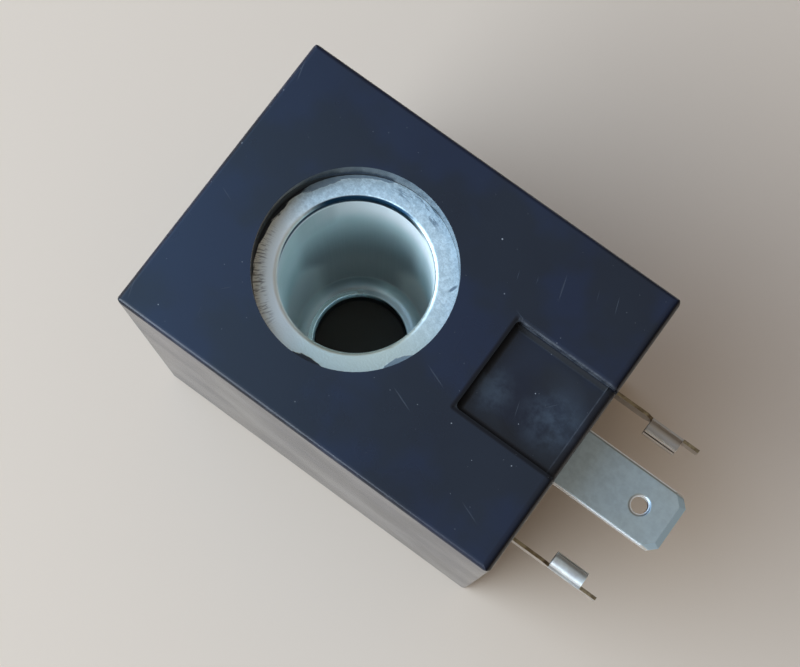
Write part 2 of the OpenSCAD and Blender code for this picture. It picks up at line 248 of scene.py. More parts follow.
def speckGroup():
    group, start, end = newGroup("specks", {"Scale": 400.0, "Size": 0.05, "Share": 0.2}, ["Mask"])
    marks = cellMarks(group, flatPoint(group), start["Scale"], start["Size"], start["Share"], speckLook)
    feed(group, end["Mask"], marks)
    return group


def scratchGroup():
    inputs = {"Turn": 0.0, "Length": 0.02, "Width": 0.0006, "Share": 0.3}
    group, start, end = newGroup("scratches", inputs, ["Mask"])
    wander = noiseOf(group, objectPoint(group), *effects["wander"])
    sway = joined(group, times(group, wander, effects["sway"]), 0.0)
    bent = vectorCalc(group, "ADD", flatPoint(group), sway)
    turning = {"Vector": bent, "Angle": start["Turn"]}
    turned = place(group, "ShaderNodeVectorRotate", turning, rotation_type="Z_AXIS").outputs[0]
    along, across = parted(group, turned)[:2]
    along = calc(group, "DIVIDE", along, start["Length"])
    across = calc(group, "DIVIDE", across, start["Width"])
    marks = cellMarks(group, joined(group, along, across), 1.0, 1.0, start["Share"], scratchLook)
    feed(group, end["Mask"], marks)
    return group


def grainGroup():
    group, start, end = newGroup("fineGrain", {"Scale": 4000.0}, ["Height", "Patch"])
    point = objectPoint(group)
    feed(group, end["Height"], noiseOf(group, point, start["Scale"], *effects["grain"]))
    coarse = times(group, start["Scale"], effects["patchScale"])
    feed(group, end["Patch"], patches(group, point, coarse, *effects["grainPatches"]))
    return group


specks = speckGroup()
scratches = scratchGroup()
fineGrain = grainGroup()
print("shared effects ready")


# Moulded block

moulding = {
    "blue": rgb(0.0040, 0.0110, 0.0310),
    "black": rgb(0.0040, 0.0090, 0.0190),
    "worn": rgb(0.060, 0.070, 0.085),
    "scuffAndHighlight": rgb(0.075, 0.085, 0.10),
    "dust": rgb(0.30, 0.32, 0.34),
    "smudge": rgb(0.025, 0.037, 0.054),
    # painted shade: near-black colour laid where shade falls
    "paintedShade": rgb(0.0006, 0.0016, 0.0040),
    "blotches": (130.0, 3.0, 0.5, 0.42, 0.6),  # blue in black
    "roughness": (0.26, 0.34),
    "sidePolish": 0.10,  # how much smoother the upright faces are
    "dulling": 0.12,  # how much rougher the marks are
    "shadeDulling": 4.0,  # the painted shade is rougher too, more so where it is thick
    "grain": 4200.0,
    "grainDepth": 0.003 * mm,
    # painted shade along the top of the terminal face, from its plane and from the top
    "frontDepth": (-0.55 * mm, -0.2 * mm),
    "frontHeight": (-3 * mm, -1 * mm),
    # worn edges
    "edgeWidth": 0.45 * mm,
    "edgeFull": 0.25,  # share of that width that is fully worn
    "edgeMeet": (1.25, 2.0),  # two faces have to be near
    "edgeChips": (700.0, 4.0, 0.7, 0.45, 0.75),
    "wearShare": 0.5,
    # scratches: direction and share of the cells
    "scratches": ((0.35, 0.05), (1.25, 0.04), (2.3, 0.04)),
    "scratchSize": {"Length": 0.012, "Width": 0.0006},
    # dust
    "upward": (0.5, 0.9),  # how far up a face has to look
    "bigDust": {"Scale": 330.0, "Size": 0.020, "Share": 0.22},
    "smallDust": {"Scale": 900.0, "Size": 0.030, "Share": 0.11},
    "smallStrength": 0.6,
    # painted shade at the foot of the window's wall
    "windowRadius": 9.3 * mm,
    "windowWall": (0.1 * mm, 0.2 * mm),
    "footShadeSide": (192.0, 0.5, 0.95),  # where it climbs the wall
    "footShadeHeight": 0.25 * mm,
    "footShadeClimb": 1.7 * mm,
    "footShadeFade": (0.15 * mm, 0.45 * mm),
    "footShadeNoise": (800.0, 3.0, 0.5),
    "footShadeRagged": 0.5 * mm,
    # height of the marks over the grain
    "scratchHeight": -1.5,
    "ejectorHeight": -0.8,
    "ridgeHeight": 3.0,
}

# the shallow recess; a place in it is a distance back from the terminal face, then Y
recess = {
    "length": 10.8 * mm,
    "width": 9.6 * mm,
    "depth": 1.4 * mm,
    "margin": 1 * mm,  # how far the marks' bounds run on below and in front
    "floorRise": 0.2 * mm,  # and how far up the walls
    "softness": 0.1 * mm,
    "smudges": ((9.2 * mm, -1.4 * mm, 3.0 * mm), (3.4 * mm, -0.8 * mm, 3.8 * mm)),  # place and reach
    "smudgeFull": 0.2,  # share of the reach where it is full
    "cloud": (420.0, 4.0, 0.65, 0.36, 0.66),
    "chips": (1300.0, 4.0, 0.7, 0.36, 0.6),  # breaks up the painted far-edge highlight and the worn ridge
    "chipStrength": (0.35, 1.0),
    # painted highlight along the far edge, from the far wall, the floor and the rear wall
    "farStart": (-0.1 * mm, 0.0),
    "farEnd": (0.04 * mm, 0.20 * mm),
    "farHeight": (0.2 * mm, 0.5 * mm),
    "farRear": (0.0, 0.8 * mm),
    # ridge along the terminal face
    "ridge": 0.95 * mm,
    "ridgeWidth": (0.02 * mm, 0.09 * mm),
    "ridgeWear": 0.35,
    # arc left by the ejector, seen on one side
    "ejector": (4.8 * mm, -0.3 * mm),
    "ejectorRadius": 3.3 * mm,
    "ejectorWidth": (0.03 * mm, 0.14 * mm),
    "ejectorAngle": 260.0,
    "ejectorFade": 2 * mm,
    # painted shade: on the whole floor, at the foot of the walls, and how far over the edges
    "paintedRecessShade": 0.5,
    "rearFoot": (0.3 * mm, 1.1 * mm),
    "nearFoot": (0.2 * mm, 0.9 * mm),
    "farFoot": (-0.8 * mm, -0.4 * mm),
    "farFootTop": (0.4 * mm, 0.7 * mm),
    "spread": 0.22 * mm,
    # rounding of the edges, and how far it drops
    "brim": (-0.1 * mm, 0.42 * mm),
    "brimTop": (-0.3 * mm, -0.1 * mm),
    "brimDrop": 0.15 * mm,
    # slight hollow of the floor
    "dish": (4.5 * mm, -0.2 * mm),
    "dishRadius": 4.3 * mm,
    "dishDepth": 0.30 * mm,
}


def boxEdgeMask(tree, low, high, width):  # 1 on the twelve edges of a box
    total = 0.0
    for value, start, end in zip(parted(tree, objectPoint(tree)), low, high):
        half = (end - start) / 2
        away = offLine(tree, value, (start + end) / 2)
        close = rise(tree, away, half - width, half - moulding["edgeFull"] * width)
        total = calc(tree, "ADD", total, close)
    return rise(tree, total, *moulding["edgeMeet"])


def insideMask(tree, low, high, soft):  # 1 inside a box
    inside = 1.0
    for value, start, end in zip(parted(tree, objectPoint(tree)), low, high):
        edges = rise(tree, value, start - soft, start + soft), fall(tree, value, end - soft, end + soft)
        inside = times(tree, inside, *edges)
    return inside


def recessMarks(tree, point, high):
    x, y, z = parted(tree, point)
    floorZ = high.z - recess["depth"]
    rearX = high.x - recess["length"]
    half = recess["width"] / 2
    lowest = floorZ - recess["margin"]
    floorLow = Vector((rearX, -half, lowest))
    floorHigh = Vector((high.x + recess["margin"], half, floorZ + recess["floorRise"]))
    onFloor = insideMask(tree, floorLow, floorHigh, recess["softness"])

    def onFloorAt(back, side):
        return Vector((high.x - back, side, floorZ))

    smudge = 0.0
    for back, side, reach in recess["smudges"]:
        away = measure(tree, "DISTANCE", point, onFloorAt(back, side))
        smudge = largest(tree, smudge, fall(tree, away, recess["smudgeFull"] * reach, reach))
    smudge = times(tree, smudge, patches(tree, point, *recess["cloud"]), onFloor)

    # painted highlight along the far edge, and a worn ridge
    broken = span(tree, patches(tree, point, *recess["chips"]), *recess["chipStrength"])
    farBand = times(
        tree, riseFrom(tree, y, half, recess["farStart"]), fallFrom(tree, y, half, recess["farEnd"])
    )
    paintedFarHighlight = times(
        tree, farBand, broken,
        riseFrom(tree, z, floorZ, recess["farHeight"]), riseFrom(tree, x, rearX, recess["farRear"])
    )
    ridge = fall(tree, offLine(tree, x, high.x - recess["ridge"]), *recess["ridgeWidth"])
    ridge = times(tree, ridge, onFloor, broken, recess["ridgeWear"])

    offset = vectorCalc(tree, "SUBTRACT", point, onFloorAt(*recess["ejector"]))
    away = offLine(tree, measure(tree, "LENGTH", offset), recess["ejectorRadius"])
    ahead = measure(tree, "DOT_PRODUCT", offset, toward(recess["ejectorAngle"]))
    seen = rise(tree, ahead, 0.0, recess["ejectorFade"])
    arc = times(tree, fall(tree, away, *recess["ejectorWidth"]), seen, onFloor)

    # painted shade at the foot of three walls
    rearFoot = fallFrom(tree, x, rearX, recess["rearFoot"])
    nearFoot = fallFrom(tree, y, -half, recess["nearFoot"])
    farFoot = times(
        tree, riseFrom(tree, y, half, recess["farFoot"]), fallFrom(tree, z, floorZ, recess["farFootTop"])
    )
    spread = recess["spread"]
    dirtLow = Vector((rearX - spread, -half - spread, lowest))
    dirtHigh = Vector((high.x, half, high.z + spread))
    around = insideMask(tree, dirtLow, dirtHigh, spread)
    corner = times(tree, largest(tree, rearFoot, nearFoot, farFoot), around)
    paintedRecessShade = largest(tree, corner, times(tree, onFloor, recess["paintedRecessShade"]))

    # the top drops towards the recess's edges
    aside = largest(tree, calc(tree, "SUBTRACT", calc(tree, "ABSOLUTE", y), half), 0.0)
    behind = largest(tree, calc(tree, "SUBTRACT", rearX, x), 0.0)
    outside = measure(tree, "LENGTH", joined(tree, aside, behind))
    drop = times(tree, fall(tree, outside, *recess["brim"]), riseFrom(tree, z, high.z, recess["brimTop"]))

    away = measure(tree, "DISTANCE", point, onFloorAt(*recess["dish"]))
    share = calc(tree, "MINIMUM", calc(tree, "DIVIDE", away, recess["dishRadius"]), 1.0)
    inward = inverse(tree, times(tree, share, share))
    hollow = times(tree, inward, inward, -1.0, onFloor)
    return {
        "smudge": smudge, "paintedFarHighlight": paintedFarHighlight, "ridge": ridge, "arc": arc, "paintedRecessShade": paintedRecessShade,
        "brim": inverse(tree, drop), "hollow": hollow,
    }


def windowFootShade(tree, point):  # painted shade at the foot of the window's wall, climbing higher on one side, on both faces of the block
    radius, way = roundBore(tree, point)[1:]
    height = calc(tree, "ABSOLUTE", parted(tree, point)[2])
    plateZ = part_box("yoke_bracket")[1].z
    side = facing(tree, way, *moulding["footShadeSide"])
    climb = calc(tree, "MULTIPLY_ADD", side, moulding["footShadeClimb"], moulding["footShadeHeight"])
    noise = noiseOf(tree, point, *moulding["footShadeNoise"])
    uneven = calc(tree, "MULTIPLY_ADD", noise, moulding["footShadeRagged"], height)
    foot = fallFrom(tree, calc(tree, "SUBTRACT", uneven, climb), plateZ, moulding["footShadeFade"])
    return times(tree, foot, fallFrom(tree, radius, moulding["windowRadius"], moulding["windowWall"]))


def makeMoulding():
    material, tree, shader = newMaterial("satinMoulding")
    point = objectPoint(tree)
    x, z = parted(tree, point)[::2]
    grain = fillGroup(tree, fineGrain, Scale=moulding["grain"])
    low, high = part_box("encapsulation")
    color = mixColors(tree, patches(tree, point, *moulding["blotches"]), moulding["black"], moulding["blue"])
    marks = recessMarks(tree, point, high)
    # painted shade at the foot of the window's wall and in the recess
    paintedShade = largest(tree, windowFootShade(tree, point), marks["paintedRecessShade"])
    color = mixColors(tree, paintedShade, color, moulding["paintedShade"])
    color = mixColors(tree, marks["smudge"], color, moulding["smudge"])
    # painted highlight on the recess's far edge, and wear on the ridge
    color = mixColors(tree, largest(tree, marks["paintedFarHighlight"], marks["ridge"]), color, moulding["scuffAndHighlight"])
    # painted shade along the top of the terminal face
    front = riseFrom(tree, x, high.x, moulding["frontDepth"])
    front = times(tree, front, riseFrom(tree, z, high.z, moulding["frontHeight"]))
    color = mixColors(tree, front, color, moulding["paintedShade"])
    # worn edges, broken up by noise
    edges = boxEdgeMask(tree, low, high, moulding["edgeWidth"])
    edges = times(tree, edges, patches(tree, point, *moulding["edgeChips"]), moulding["wearShare"])
    color = mixColors(tree, edges, color, moulding["worn"])
    # scratches in three directions
    scored = 0.0
    for turn, share in moulding["scratches"]:
        lines = fillGroup(tree, scratches, Turn=turn, Share=share, **moulding["scratchSize"])
        scored = largest(tree, scored, lines["Mask"])
    color = mixColors(tree, times(tree, scored, moulding["wearShare"]), color, moulding["worn"])
    # dust lies on what faces up
    up = rise(tree, normalParts(tree)[2], *moulding["upward"])
    big = fillGroup(tree, specks, **moulding["bigDust"])["Mask"]
    small = fillGroup(tree, specks, **moulding["smallDust"])["Mask"]
    dust = times(tree, largest(tree, big, times(tree, small, moulding["smallStrength"])), up)
    color = mixColors(tree, dust, color, moulding["dust"])
    feed(tree, shader.inputs["Base Color"], color)
    rough = span(tree, grain["Patch"], *moulding["roughness"])
    rough = calc(tree, "SUBTRACT", rough, times(tree, inverse(tree, up), moulding["sidePolish"]))
    dull = largest(tree, scored, marks["smudge"], times(tree, paintedShade, paintedShade, moulding["shadeDulling"]))
    feed(tree, shader.inputs["Roughness"], calc(tree, "MULTIPLY_ADD", dull, moulding["dulling"], rough))
    # grain and marks as relief
    relief = calc(tree, "MULTIPLY_ADD", scored, moulding["scratchHeight"], grain["Height"])
    relief = calc(tree, "MULTIPLY_ADD", marks["arc"], moulding["ejectorHeight"], relief)
    relief = calc(tree, "MULTIPLY_ADD", marks["ridge"], moulding["ridgeHeight"], relief)
    rounded = bump(tree, marks["brim"], recess["brimDrop"])
    rounded = bump(tree, marks["hollow"], recess["dishDepth"], rounded)
    feed(tree, shader.inputs["Normal"], bump(tree, relief, moulding["grainDepth"], rounded))
    return material


wear(makeMoulding(), "encapsulation")
print("moulding done")


# Yoke sheet: the ring in the window and the plate on the nut side

yokeSheet = {
    "zinc": rgb(0.84, 0.97, 0.99),
    "dull": rgb(0.58, 0.70, 0.72),
    "handled": rgb(0.60, 0.66, 0.58),
    "tan": rgb(0.90, 0.90, 0.82),
    "dash": rgb(0.10, 0.075, 0.05),
    "plastic": rgb(0.008, 0.012, 0.020),
    "film": rgb(0.065, 0.115, 0.17),
    "bare": rgb(0.95, 1.0, 1.0),  # punched wall
    # painted shade on one side of the punched wall and rolled edge
    "paintedRimShade": rgb(0.014, 0.045, 0.085),
    "mottle": (2600.0, 4.0, 0.7, 0.35, 0.7),
    "roughness": (0.40, 0.56),
    "grain": 5200.0,
    "reliefDepth": 0.02 * mm,
    "handledSide": (280.0, -0.2, 0.7),
    # tan stain with short dark dashes; a grid is steps round the bore, then steps per metre outwards
    "stainSide": (216.0, 0.45, 0.95),
    "stainMatt": 0.5,
    "dashSide": (216.0, 0.80, 0.97),
    "dashGrid": (64.0, 1100.0),
    "dashes": (1.0, 3.0, 0.6, 0.46, 0.66),
    "dashRadius": (7.9 * mm, 8.7 * mm),
    "dashShare": 0.75,
    # streaks along the rim
    "streakSide": (84.0, 0.93, 0.985),
    "streakGrid": (5.0, 3000.0),
    "streakNoise": (1.0, 3.0, 0.6),
    "streakCut": (0.52, 0.62),
    "streakRadius": (8.1 * mm, 8.5 * mm),
    "streakShare": 0.75,
    # a short dark mark: its middle, direction, half its length and half its width
    "tick": Vector((7.81, 4.11, 17.9)) * mm,
    "tickAngle": 71.0,
    "tickSize": (0.62 * mm, 0.20 * mm),
    "tickEdge": (0.4, 1.0),
    # moulding left on the rim: its angle, half its length and its reach in from the window
    "blackSmears": ((277.0, 2.2 * mm, 0.71 * mm), (185.0, 5.0 * mm, 0.36 * mm)),
    "paleSmears": (
        (146.0, 2.6 * mm, 0.66 * mm), (124.0, 4.0 * mm, 0.46 * mm), (331.0, 2.0 * mm, 0.88 * mm)
    ),
    "smearEdge": 0.10 * mm,
    "smearRagged": 0.7 * mm,
    "paleShare": 0.8,
    "smearHeight": 1.2,  # over the grain
    "topFace": (17.0 * mm, 17.5 * mm),
    # punched wall and rolled edge, and the sides where they get painted shade
    "wallRadius": (7.105 * mm, 7.13 * mm),
    "wallSide": (136.0, 0.25, 0.6),
    "rolledRadius": (7.34 * mm, 7.44 * mm),
    "rolledSide": (118.0, 0.62, 0.88),
    "rimShadeHeight": (16.6 * mm, 17.1 * mm),
}


def rimSmears(tree, flat, ragged, smears):  # each one tapers to both ends
    total = 0.0
    for angle, length, reach in smears:
        ahead = measure(tree, "DOT_PRODUCT", flat, toward(angle))
        aside = measure(tree, "DOT_PRODUCT", flat, toward(angle + 90))
        share = calc(tree, "DIVIDE", aside, length)
        share = times(tree, share, share)
        edge = calc(tree, "MULTIPLY_ADD", share, reach, moulding["windowRadius"] - reach)
        inside = rise(tree, calc(tree, "SUBTRACT", ragged, edge), 0.0, yokeSheet["smearEdge"])
        smear = times(tree, inside, calc(tree, "GREATER_THAN", ahead, 0.0))
        total = largest(tree, total, smear)
    return total


def tickMark(tree, point):
    length, width = yokeSheet["tickSize"]
    angle = yokeSheet["tickAngle"]
    offset = vectorCalc(tree, "SUBTRACT", point, yokeSheet["tick"])
    ahead = measure(tree, "DOT_PRODUCT", offset, toward(angle) / length)
    aside = measure(tree, "DOT_PRODUCT", offset, toward(angle + 90) / width)
    return fall(tree, measure(tree, "LENGTH", joined(tree, ahead, aside)), *yokeSheet["tickEdge"])


def makeYokeSheet():
    material, tree, shader = newMaterial("zincSheet")
    point = objectPoint(tree)
    z = parted(tree, point)[2]
    flat, radius, way = roundBore(tree, point)
    grain = fillGroup(tree, fineGrain, Scale=yokeSheet["grain"])
    color = mixColors(tree, patches(tree, point, *yokeSheet["mottle"]), yokeSheet["dull"], yokeSheet["zinc"])
    color = mixColors(tree, facing(tree, way, *yokeSheet["handledSide"]), color, yokeSheet["handled"])
    # tan stain with short dark dashes across the ring
    stained = facing(tree, way, *yokeSheet["stainSide"])
    color = mixColors(tree, stained, color, yokeSheet["tan"])
    dash = patches(tree, wrapped(tree, way, radius, *yokeSheet["dashGrid"]), *yokeSheet["dashes"])
    dash = times(
        tree, dash, facing(tree, way, *yokeSheet["dashSide"]),
        rise(tree, radius, *yokeSheet["dashRadius"]), yokeSheet["dashShare"]
    )
    color = mixColors(tree, dash, color, yokeSheet["dash"])
    # streaks along the rim, the short mark, and ragged remains of moulding
    top = rise(tree, z, *yokeSheet["topFace"])
    wavy = noiseOf(tree, wrapped(tree, way, radius, *yokeSheet["streakGrid"]), *yokeSheet["streakNoise"])
    streak = times(
        tree, rise(tree, wavy, *yokeSheet["streakCut"]), rise(tree, radius, *yokeSheet["streakRadius"]),
        facing(tree, way, *yokeSheet["streakSide"])
    )
    streak = times(tree, largest(tree, streak, tickMark(tree, point)), top, yokeSheet["streakShare"])
    swing = calc(tree, "SUBTRACT", wavy, 0.5)  # about the noise's middle
    ragged = calc(tree, "MULTIPLY_ADD", swing, yokeSheet["smearRagged"], radius)
    pale = times(tree, rimSmears(tree, flat, ragged, yokeSheet["paleSmears"]), top)
    black = times(tree, rimSmears(tree, flat, ragged, yokeSheet["blackSmears"]), top)
    color = mixColors(tree, streak, color, yokeSheet["film"])
    color = mixColors(tree, times(tree, pale, yokeSheet["paleShare"]), color, yokeSheet["film"])
    color = mixColors(tree, black, color, yokeSheet["plastic"])
    # the punched wall is as pale as the liner, with painted shade on one side near its rolled edge
    wall = fall(tree, radius, *yokeSheet["wallRadius"])
    color = mixColors(tree, wall, color, yokeSheet["bare"])
    dark = times(tree, wall, facing(tree, way, *yokeSheet["wallSide"]))
    rolled = fall(tree, radius, *yokeSheet["rolledRadius"])
    rolled = times(tree, rolled, facing(tree, way, *yokeSheet["rolledSide"]))
    paintedRimShade = times(tree, largest(tree, dark, rolled), rise(tree, z, *yokeSheet["rimShadeHeight"]))
    color = mixColors(tree, paintedRimShade, color, yokeSheet["paintedRimShade"])
    feed(tree, shader.inputs["Base Color"], color)
    # the remains, the clean wall and the stain aren't bare metal
    smeared = largest(tree, pale, black)
    clean = calc(tree, "SUBTRACT", wall, paintedRimShade)
    covered = largest(tree, smeared, clean, times(tree, stained, yokeSheet["stainMatt"]))
    feed(tree, shader.inputs["Metallic"], inverse(tree, covered))
    feed(tree, shader.inputs["Roughness"], span(tree, grain["Patch"], *yokeSheet["roughness"]))
    relief = calc(tree, "MULTIPLY_ADD", smeared, yokeSheet["smearHeight"], grain["Height"])
    feed(tree, shader.inputs["Normal"], bump(tree, relief, yokeSheet["reliefDepth"]))
    return material


wear(makeYokeSheet(), "yoke_bracket", "nut_side_plate")
print("yoke done")


# Drawn liner of the bore

liner = {
    "pale": rgb(0.82, 0.95, 0.95),
    "green": rgb(0.72, 0.88, 0.86),
    "blotches": (180.0, 3.0, 0.5, 0.3, 0.7),  # pale in green
    "foot": rgb(0.98, 0.95, 0.88),  # low on the wall, on one side
    "footSide": (75.0, -0.2, 0.6),
    "footHeight": (-5 * mm, 3 * mm),
    "clean": rgb(0.95, 1.0, 0.98),  # low on the other side
    "paintedLight": rgb(0.96, 1.0, 1.0),  # painted light near the mouth
    "paintedLightSide": (95.0, 0.3, 0.8),
    "paintedLightHeight": (10 * mm, 14 * mm),
    # painted shade as a dark patch on the far wall: degrees to each side, first low on the wall and then
    # high
    "paintedBoreShade": rgb(0.28, 0.30, 0.31),
    "boreShadeAngle": 125.0,
    "boreShadeLeft": (35.0, 53.0),
    "boreShadeRight": (36.0, 52.0),
    "boreShadeLeftHeight": (-6 * mm, 2 * mm),
    "boreShadeRightHeight": (-9 * mm, 0.0),
    "boreShadeLeftFade": 8.0,
    "boreShadeRightFade": 9.0,
    "boreShadeShare": (0.64, 0.82),  # at the foot and half-way up
    "boreShadeShareHeight": (-8 * mm, -1 * mm),
    "boreShadeTop": (-2 * mm, 15 * mm),
    "upperShade": 0.27,  # a fainter part of the painted shade near the mouth, on the left
    "upperHeight": (7 * mm, 11 * mm),
    "upperTurn": (12.0, 22.0),
    # ledge, and the side where it gets painted shade
    "ledge": rgb(0.90, 1.0, 0.98),
    "levelFace": (0.2, 0.6),  # how far up its faces look
    "ledgeSide": (134.0, 0.80, 0.985),
    "ledgeShade": 0.72,
    # stud hole, painted dark as shade, and the side where its lip is polished and gets a painted highlight
    "hole": rgb(0.010, 0.012, 0.012),
    "holeRadius": (5.12 * mm, 5.28 * mm),
    "lip": rgb(0.74, 0.96, 1.0),
    "lipRadius": (5.6 * mm, 5.85 * mm),
    "lipHeight": (-16.2 * mm, -15.9 * mm),
    "lipSide": (200.0, -0.4, 0.7),
    "lipPolish": -0.18,  # change of its roughness
    "metallic": (0.05, 0.55),  # of the wall and of the ledge
    "mattSide": (200.0, 0.2, 0.9),  # where the ledge is less metallic
    "mattShare": (1.0, 0.2),
    "roughness": (0.38, 0.50),
    # drawing marks that run up the wall
    "drawnGrid": (60.0, 60.0),
    "drawnNoise": (1.0, 3.0, 0.6),
    "drawnCut": (0.3, 0.7),
    "drawnDepth": 0.002 * mm,
}


def boreShadePatch(tree, way, z):  # painted shade patch, wider above than below
    ahead = measure(tree, "DOT_PRODUCT", way, toward(liner["boreShadeAngle"]))
    aside = measure(tree, "DOT_PRODUCT", way, toward(liner["boreShadeAngle"] + 90))
    turn = calc(tree, "DEGREES", calc(tree, "ARCTAN2", aside, ahead))
    leftEdge = span(tree, rise(tree, z, *liner["boreShadeLeftHeight"]), *liner["boreShadeLeft"])
    rightEdge = span(tree, rise(tree, z, *liner["boreShadeRightHeight"]), *liner["boreShadeRight"])
    leftFade, rightFade = liner["boreShadeLeftFade"], liner["boreShadeRightFade"]
    left = fall(tree, calc(tree, "SUBTRACT", turn, leftEdge), -leftFade, leftFade)
    right = rise(tree, calc(tree, "ADD", turn, rightEdge), -rightFade, rightFade)
    share = span(tree, rise(tree, z, *liner["boreShadeShareHeight"]), *liner["boreShadeShare"])
    share = times(tree, share, fall(tree, z, *liner["boreShadeTop"]))
    upper = rise(tree, z, *liner["upperHeight"])
    upper = times(tree, upper, rise(tree, turn, *liner["upperTurn"]), liner["upperShade"])
    return times(tree, left, right, largest(tree, share, upper))


def makeLiner():
    material, tree, shader = newMaterial("drawnLiner")
    point = objectPoint(tree)
    z = parted(tree, point)[2]
    radius, way = roundBore(tree, point)[1:]
    level = rise(tree, normalParts(tree)[2], *liner["levelFace"])  # 1 on the ledge, 0 on the wall
    upright = inverse(tree, level)
    # wall: blotched metal, warmer low down, painted light near the mouth, with a painted shade patch
    color = mixColors(tree, patches(tree, point, *liner["blotches"]), liner["green"], liner["pale"])
    foot = mixColors(tree, facing(tree, way, *liner["footSide"]), liner["clean"], liner["foot"])
    color = mixColors(tree, fall(tree, z, *liner["footHeight"]), color, foot)
    # painted light on the wall near the mouth
    paintedLight = times(tree, facing(tree, way, *liner["paintedLightSide"]), rise(tree, z, *liner["paintedLightHeight"]))
    color = mixColors(tree, paintedLight, color, liner["paintedLight"])
    color = mixColors(tree, times(tree, boreShadePatch(tree, way, z), upright), color, liner["paintedBoreShade"])
    # ledge: pale, with painted shade on one side
    color = mixColors(tree, level, color, liner["ledge"])
    ledgeShadeMask = times(tree, level, facing(tree, way, *liner["ledgeSide"]), liner["ledgeShade"])
    color = mixColors(tree, ledgeShadeMask, color, liner["paintedBoreShade"])
    # stud hole: a wall painted dark as shade, below a lip polished on one side with a painted highlight
    # there
    hole = fall(tree, radius, *liner["holeRadius"])
    color = mixColors(tree, hole, color, liner["hole"])
    lip = times(tree, fall(tree, radius, *liner["lipRadius"]), rise(tree, z, *liner["lipHeight"]))
    lip = times(tree, lip, facing(tree, way, *liner["lipSide"]))
    color = mixColors(tree, lip, color, liner["lip"])
    feed(tree, shader.inputs["Base Color"], color)
    metal = times(tree, level, span(tree, facing(tree, way, *liner["mattSide"]), *liner["mattShare"]))
    metallic = largest(tree, span(tree, metal, *liner["metallic"]), lip)
    feed(tree, shader.inputs["Metallic"], times(tree, metallic, inverse(tree, hole)))
    drawn = noiseOf(tree, wrapped(tree, way, z, *liner["drawnGrid"]), *liner["drawnNoise"])
    rough = times(tree, rise(tree, drawn, *liner["drawnCut"]), upright)
    rough = span(tree, rough, *liner["roughness"])
    feed(tree, shader.inputs["Roughness"], calc(tree, "MULTIPLY_ADD", lip, liner["lipPolish"], rough))
    feed(tree, shader.inputs["Normal"], bump(tree, times(tree, drawn, upright), liner["drawnDepth"]))
    return material


wear(makeLiner(), "bore_liner")
print("liner done")


# Earth blade

blade = {
    "plate": rgb(0.40, 0.47, 0.50),
    "pale": rgb(0.58, 0.69, 0.72),
    # painted highlight: near-white metal on the rounded edges
    "cut": rgb(0.98, 1.0, 1.0),
    # painted sheen on the bevels, picked by how far they face up
    "bevel": rgb(0.64, 0.85, 1.0),
    "mottle": (1500.0, 4.0, 0.6, 0.3, 0.7),
    "mottleShare": 0.35,
    "tip": (25 * mm, 37 * mm),  # painted shade: darker at the root beside the block, paler towards the tip
    "tipShare": 0.65,
    "roughness": (0.30, 0.42),
    "edgeRoughness": 0.4,
    "halfWidth": 3.15 * mm,
    "hole": Vector((33.3, 0.0, 5.75)) * mm,
    "holeRadius": 0.85 * mm,
    "rolled": 0.30 * mm,  # width of the rounded edges, and how far they drop
    "drop": 0.10 * mm,
    "paintedLightEdge": (0.35, 0.8),  # part of that width that gets the painted highlight
    "bevelTilt": (0.95, 0.985),  # how far up the bevels look, and the least that counts
    "bevelLeast": 0.5,
    # rolling marks, with grain over them
    "rolling": (120.0, 5200.0, 5200.0),
    "rollingNoise": (1.0, 3.0, 0.6),
    "grain": 4000.0,
    "grainShare": 0.4,
    "rollingDepth": 0.006 * mm,
}


def makeBlade():
    material, tree, shader = newMaterial("platedBlade")
    point = objectPoint(tree)
    x, y = parted(tree, point)[:2]
    upward = normalParts(tree)[2]
    grain = fillGroup(tree, fineGrain, Scale=blade["grain"])
    lines = noiseOf(tree, vectorCalc(tree, "MULTIPLY", point, blade["rolling"]), *blade["rollingNoise"])
    mottle = patches(tree, point, *blade["mottle"])
    # painted shade towards the root, beside the block
    outward = span(tree, rise(tree, x, *blade["tip"]), 0.0, blade["tipShare"])
    outward = calc(tree, "MULTIPLY_ADD", mottle, blade["mottleShare"], outward)
    color = mixColors(tree, outward, blade["plate"], blade["pale"])
    # rounded by the punch: both long edges and the hole's rim
    edge = rise(tree, calc(tree, "ABSOLUTE", y), blade["halfWidth"] - blade["rolled"], blade["halfWidth"])
    away = measure(tree, "DISTANCE", point, blade["hole"])
    rim = fall(tree, away, blade["holeRadius"], blade["holeRadius"] + blade["rolled"])
    punched = largest(tree, edge, rim)
    # painted sheen on the bevels
    bevel = fall(tree, upward, *blade["bevelTilt"])
    bevel = times(tree, bevel, calc(tree, "GREATER_THAN", upward, blade["bevelLeast"]))
    color = mixColors(tree, bevel, color, blade["bevel"])
    # painted highlight along the rounded edges and the hole's rim
    paintedLight = rise(tree, punched, *blade["paintedLightEdge"])
    feed(tree, shader.inputs["Base Color"], mixColors(tree, paintedLight, color, blade["cut"]))
    shader.inputs["Metallic"].default_value = 1.0
    rough = span(tree, grain["Patch"], *blade["roughness"])
    feed(tree, shader.inputs["Roughness"], span(tree, paintedLight, rough, blade["edgeRoughness"]))
    fine = calc(tree, "MULTIPLY_ADD", grain["Height"], blade["grainShare"], lines)
    fine = bump(tree, fine, blade["rollingDepth"])
    feed(tree, shader.inputs["Normal"], bump(tree, punched, -blade["drop"], fine))
    return material


wear(makeBlade(), "earth_blade")
print("earth blade done")


# Crimp terminals: tinned sheet with bare brass where it was cut

